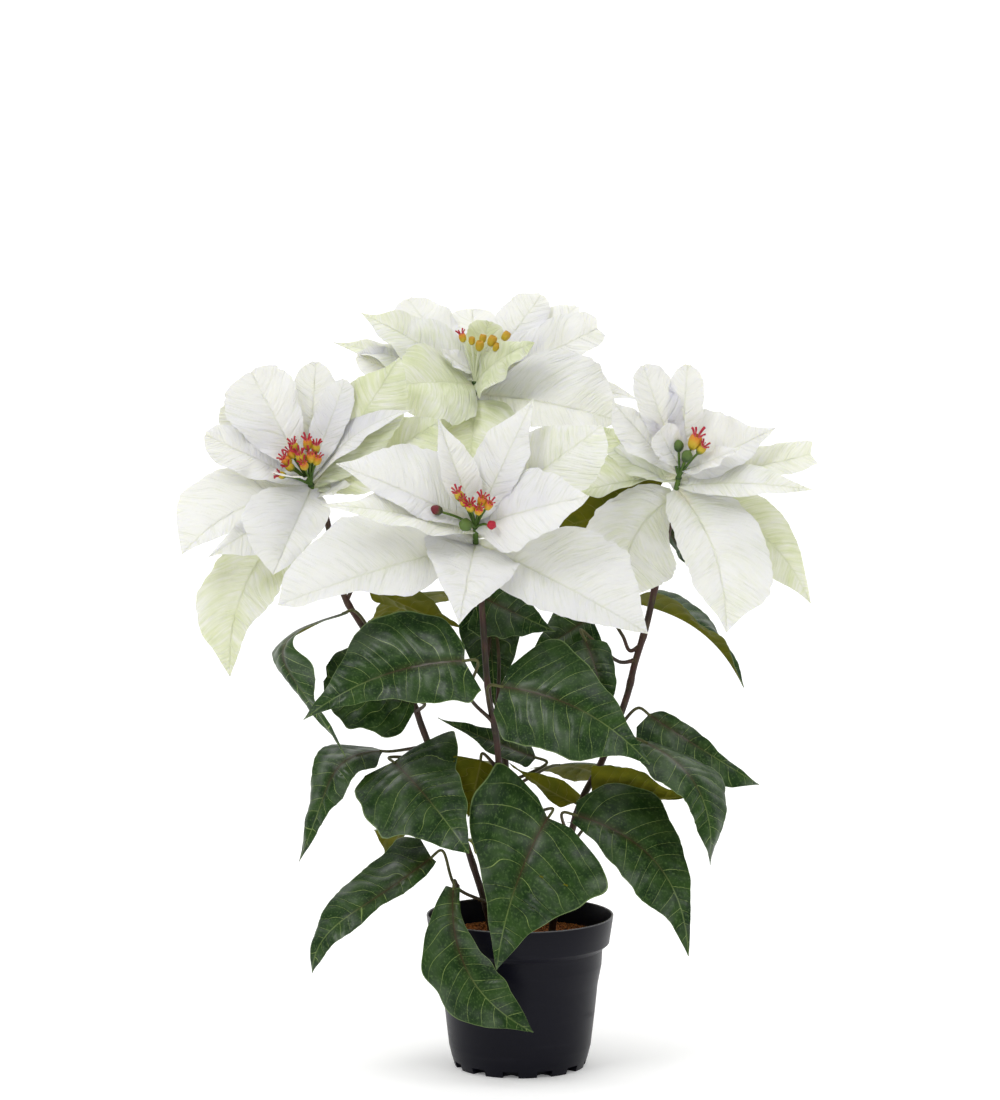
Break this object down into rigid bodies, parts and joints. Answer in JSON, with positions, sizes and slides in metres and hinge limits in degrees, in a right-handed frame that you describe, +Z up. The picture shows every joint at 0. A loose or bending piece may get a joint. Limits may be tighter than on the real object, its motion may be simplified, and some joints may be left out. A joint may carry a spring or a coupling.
{
  "type": "potted poinsettia",
  "caption": "Potted poinsettia with white and pale green bracts over dark green leaves, on tall stems in a round nursery pot.",
  "frame": {"origin": "centre of the underside of the pot's foot, on the surface that the pot stands on", "axes": "+Z up along the pot's axis, the plant faces -Y, +X to the right seen from the front"},
  "size_m": [0.4047, 0.2194, 0.4895],
  "materials": {
    "pot_plastic": "black injection-moulded nursery pot, satin, with a slightly brighter rim",
    "soil": "loose reddish-brown coco and peat crumb, matt",
    "stem": "dark reddish-brown stems that turn olive green in the leaf stalks, matt",
    "leaf": "dark green leathery blade with thin yellow-green veins and a reddish midrib near the stalk",
    "bract": "cream-white to pale green silky blade with fine cross veins and a pale green midrib",
    "cyathia": "small yellow-green and orange flower cups with red fingers"
  },
  "bodies": {
    "root": {"pot": "pot_plastic", "soil": "soil", "stem_front": "stem", "stem_left": "stem", "stem_back": "stem", "stem_right": "stem", "bracts_front": "bract", "bracts_left": "bract", "bracts_back": "bract", "bracts_right": "bract", "cyathia_front": "cyathia", "cyathia_left": "cyathia", "cyathia_back": "cyathia", "cyathia_right": "cyathia", "leaf_left_folded": "leaf", "leaf_left_large": "leaf", "leaf_left_behind": "leaf", "leaf_under_front_bloom": "leaf", "leaf_neck_front": "leaf", "leaf_neck_hanging": "leaf", "leaf_centre_large": "leaf", "leaf_centre_behind": "leaf", "leaf_centre_back": "leaf", "leaf_right_arching": "leaf", "leaf_right_behind": "leaf", "leaf_right_hanging": "leaf", "leaf_right_turned": "leaf", "leaf_middle_turned": "leaf", "leaf_middle_narrow": "leaf", "leaf_middle_small": "leaf", "leaf_left_middle": "leaf", "leaf_front_lowest": "leaf", "leaf_left_low": "leaf", "leaf_over_pot": "leaf", "leaf_right_low": "leaf", "leaf_left_curled": "leaf", "leaf_under_right_bloom": "leaf", "leaf_right_neck": "leaf", "leaf_back_upper_left": "leaf", "leaf_back_upper_right": "leaf", "leaf_back_middle_left": "leaf", "leaf_back_middle_right": "leaf", "leaf_back_low": "leaf", "leaf_back_low_left": "leaf", "leaf_back_low_right": "leaf"}
  },
  "joints": []
}
